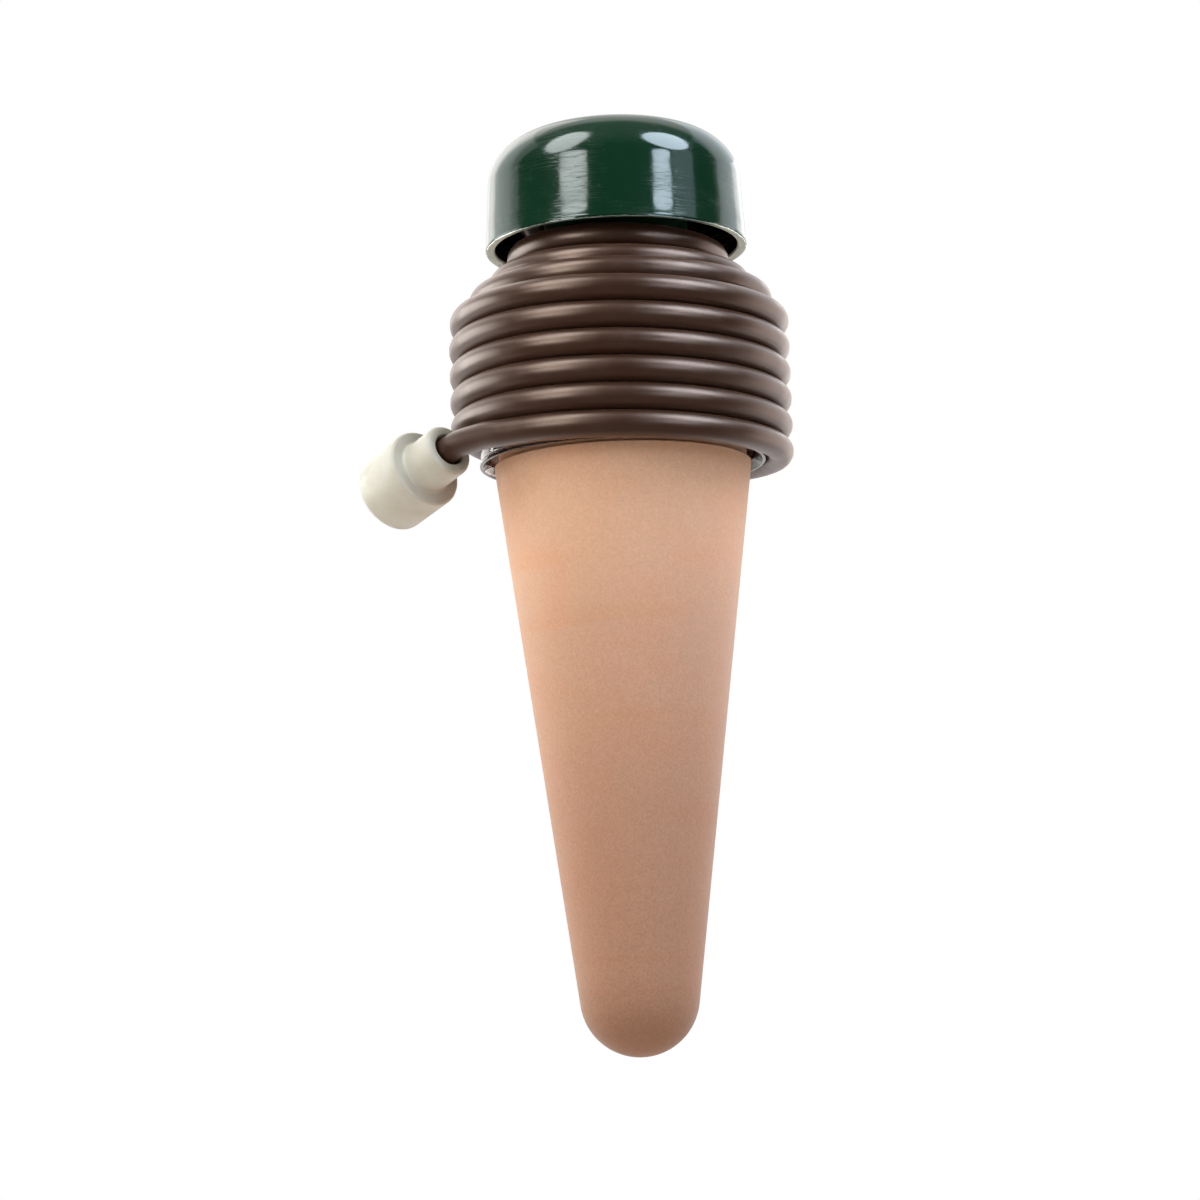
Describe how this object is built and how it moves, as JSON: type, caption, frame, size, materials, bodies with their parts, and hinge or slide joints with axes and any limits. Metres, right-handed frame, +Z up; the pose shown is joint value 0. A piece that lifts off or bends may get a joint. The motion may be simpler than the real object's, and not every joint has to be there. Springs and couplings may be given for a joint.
{
  "type": "self watering plant spike",
  "caption": "Porous clay watering cone with a clear collar, a green screw cap and a wound feed hose that ends in a small clay weight.",
  "frame": {"origin": "lowest point of the clay cone's round tip, on the cone's axis", "axes": "+Z up along the cone's axis to the cap; -Y is the side where the hose leaves the last turn, +X to the right of it"},
  "size_m": [0.0649, 0.051, 0.1396],
  "materials": {
    "terracotta": "smooth unglazed, fine sandy grain",
    "clear_plastic": "clear, polished",
    "bond": "dull sealing compound",
    "seal_rubber": "matt",
    "green_plastic": "glossy with fine scuffs",
    "insert_plastic": "satin",
    "hose_rubber": "satin, soft",
    "weight_ceramic": "ivory, matt"
  },
  "bodies": {
    "spike": {"clay_cone": "terracotta", "collar": "clear_plastic", "bond_ring": "bond"},
    "seal": {"seal_ring": "seal_rubber"},
    "cap": {"cap_shell": "green_plastic", "cap_insert": "insert_plastic", "hose_coil": "hose_rubber", "hose_tail": "hose_rubber"},
    "weight": {"end_weight": "weight_ceramic"}
  },
  "joints": [
    {"name": "cap_lift", "type": "slide", "parent": "spike", "child": "seal", "axis": [0, 0, 1], "range_m": [0, 0.0046]},
    {"name": "cap_turn", "type": "hinge", "parent": "seal", "child": "cap", "pos_m": [0, 0, 0], "axis": [0, 0, 1], "range_deg": [0, 540]},
    {"name": "weight_pull", "type": "slide", "parent": "cap", "child": "weight", "axis": [-0.6414, 0.7015, -0.3107], "range_m": [0, 0.009]}
  ],
  "couplings": [
    {"joint": "cap_lift", "follows": "cap_turn", "m_per_rad": 0.00047746}
  ]
}
